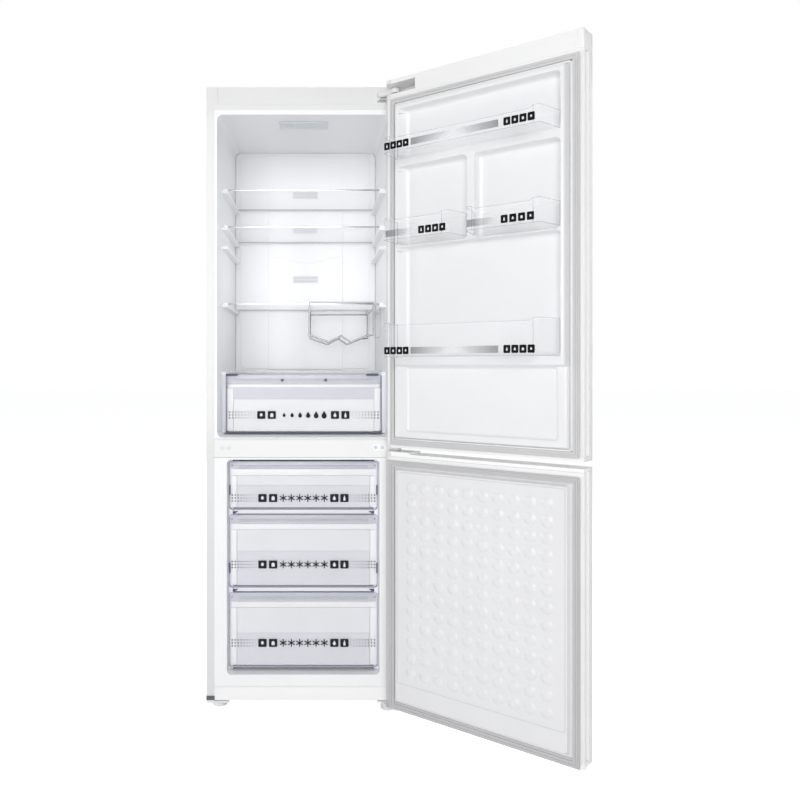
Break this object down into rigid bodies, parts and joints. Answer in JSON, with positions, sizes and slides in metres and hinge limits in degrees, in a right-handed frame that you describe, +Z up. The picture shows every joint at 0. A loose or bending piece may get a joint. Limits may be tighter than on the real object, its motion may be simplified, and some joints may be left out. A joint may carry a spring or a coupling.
{
  "type": "bottom freezer refrigerator",
  "caption": "Tall white household refrigerator over a drawer freezer, with hinged doors, glass shelves, clear drawers and clear door bins",
  "frame": {"origin": "on the floor under the middle of the cabinet, half way across its width and half way back over its 600 mm depth", "axes": "+X to the right seen from the front, where the door hinges are; +Y to the back; +Z up. The cabinet's front plane is at Y = -0.300 m."},
  "size_m": [1.0474, 1.0746, 1.917],
  "materials": {
    "shell_white": "satin white paint",
    "rear_steel": "grey coated sheet",
    "pan_steel": "galvanised sheet",
    "liner_white": "moulded white, slight sheen",
    "trim_white": "moulded white",
    "edge_white": "off-white moulded",
    "lens": "frosted",
    "shelf_glass": "clear",
    "clear_plastic": "clear tinted moulding",
    "tub_plastic": "translucent moulding",
    "wire_chrome": "polished",
    "gasket_grey": "soft grey",
    "foam": null,
    "hinge_steel": "zinc-plated steel",
    "dark_steel": "black enamel",
    "fin_aluminium": "plain",
    "mount_rubber": "black",
    "black_plastic": "black",
    "grey_plastic": "grey",
    "foot_white": "white moulded"
  },
  "bodies": {
    "cabinet": {"cabinet_shell": "shell_white", "back_panel": "rear_steel", "base_pan": "pan_steel", "fridge_liner": "liner_white", "freezer_liner": "liner_white", "cabinet_foam": "foam", "mullion_rail": "trim_white", "kick_panel": "trim_white", "air_duct_cover": "trim_white", "ceiling_lamp_lens": "lens", "crisper_cover": "shelf_glass", "freezer_shelves": "shelf_glass", "bottle_rack": "wire_chrome", "evaporator_cover": "trim_white", "evaporator": "fin_aluminium", "evaporator_fan_motor": "black_plastic", "compressor": "dark_steel", "compressor_mounts": "mount_rubber", "condenser_coil": "dark_steel", "drip_tray": "black_plastic", "machine_cover": "grey_plastic", "electronics_box": "grey_plastic", "top_hinge_bracket": "hinge_steel", "top_hinge_cover": "trim_white", "middle_hinge_bracket": "hinge_steel", "lower_corner_brackets": "hinge_steel", "hinge_screws": "hinge_steel", "rear_roller_brackets": "hinge_steel", "glass_shelf_upper": "shelf_glass", "glass_shelf_middle": "shelf_glass", "glass_shelf_lower": "shelf_glass"},
    "upper_door": {"upper_door_skin": "shell_white", "upper_door_edge_profile": "edge_white", "upper_door_end_caps": "edge_white", "upper_door_liner": "liner_white", "upper_door_gasket": "gasket_grey", "upper_door_foam": "foam"},
    "lower_door": {"lower_door_skin": "shell_white", "lower_door_edge_profile": "edge_white", "lower_door_end_caps": "edge_white", "lower_door_liner": "liner_white", "lower_door_gasket": "gasket_grey", "lower_door_foam": "foam"},
    "crisper": {"crisper_tub": "tub_plastic", "crisper_front": "clear_plastic"},
    "freezer_drawer_top": {"freezer_drawer_top_tub": "tub_plastic", "freezer_drawer_top_front": "clear_plastic"},
    "freezer_drawer_middle": {"freezer_drawer_middle_tub": "tub_plastic", "freezer_drawer_middle_front": "clear_plastic"},
    "freezer_drawer_bottom": {"freezer_drawer_bottom_tub": "tub_plastic", "freezer_drawer_bottom_front": "clear_plastic"},
    "top_bin": {"door_bin_top": "clear_plastic"},
    "right_bin": {"door_bin_right": "clear_plastic"},
    "left_bin": {"door_bin_left": "clear_plastic"},
    "bottom_bin": {"door_bin_bottom": "clear_plastic"},
    "fan_wheel": {"evaporator_fan": "black_plastic"},
    "foot_left": {"left_foot": "foot_white"},
    "foot_right": {"right_foot": "foot_white"},
    "roller_left": {"left_rear_roller": "black_plastic"},
    "roller_right": {"right_rear_roller": "black_plastic"}
  },
  "joints": [
    {"name": "upper_door_swing", "type": "hinge", "parent": "cabinet", "child": "upper_door", "pos_m": [0.28, -0.346, 1.3], "axis": [0, 0, 1], "range_deg": [-141.9, 3]},
    {"name": "lower_door_swing", "type": "hinge", "parent": "cabinet", "child": "lower_door", "pos_m": [0.28, -0.346, 0.4], "axis": [0, 0, 1], "range_deg": [-141.9, 3]},
    {"name": "crisper_slide", "type": "slide", "parent": "cabinet", "child": "crisper", "axis": [0, -1, 0], "range_m": [0, 0.3]},
    {"name": "freezer_top_slide", "type": "slide", "parent": "cabinet", "child": "freezer_drawer_top", "axis": [0, -1, 0], "range_m": [0, 0.3]},
    {"name": "freezer_middle_slide", "type": "slide", "parent": "cabinet", "child": "freezer_drawer_middle", "axis": [0, -1, 0], "range_m": [0, 0.3]},
    {"name": "freezer_bottom_slide", "type": "slide", "parent": "cabinet", "child": "freezer_drawer_bottom", "axis": [0, -1, 0], "range_m": [0, 0.2]},
    {"name": "top_bin_lift", "type": "slide", "parent": "upper_door", "child": "top_bin", "axis": [0, 0, 1], "range_m": [0, 0.02]},
    {"name": "right_bin_lift", "type": "slide", "parent": "upper_door", "child": "right_bin", "axis": [0, 0, 1], "range_m": [0, 0.02]},
    {"name": "left_bin_lift", "type": "slide", "parent": "upper_door", "child": "left_bin", "axis": [0, 0, 1], "range_m": [0, 0.02]},
    {"name": "bottom_bin_lift", "type": "slide", "parent": "upper_door", "child": "bottom_bin", "axis": [0, 0, 1], "range_m": [0, 0.02]},
    {"name": "evaporator_fan_spin", "type": "hinge", "parent": "cabinet", "child": "fan_wheel", "pos_m": [0, 0.178, 0.665], "axis": [0, 1, 0], "continuous": true},
    {"name": "left_foot_turn", "type": "hinge", "parent": "cabinet", "child": "foot_left", "pos_m": [-0.262, -0.25, 0.012], "axis": [0, 0, 1], "continuous": true},
    {"name": "right_foot_turn", "type": "hinge", "parent": "cabinet", "child": "foot_right", "pos_m": [0.262, -0.276, 0.012], "axis": [0, 0, 1], "continuous": true},
    {"name": "left_rear_roller_spin", "type": "hinge", "parent": "cabinet", "child": "roller_left", "pos_m": [-0.255, 0.25, 0.018], "axis": [1, 0, 0], "continuous": true},
    {"name": "right_rear_roller_spin", "type": "hinge", "parent": "cabinet", "child": "roller_right", "pos_m": [0.255, 0.25, 0.018], "axis": [1, 0, 0], "continuous": true}
  ]
}
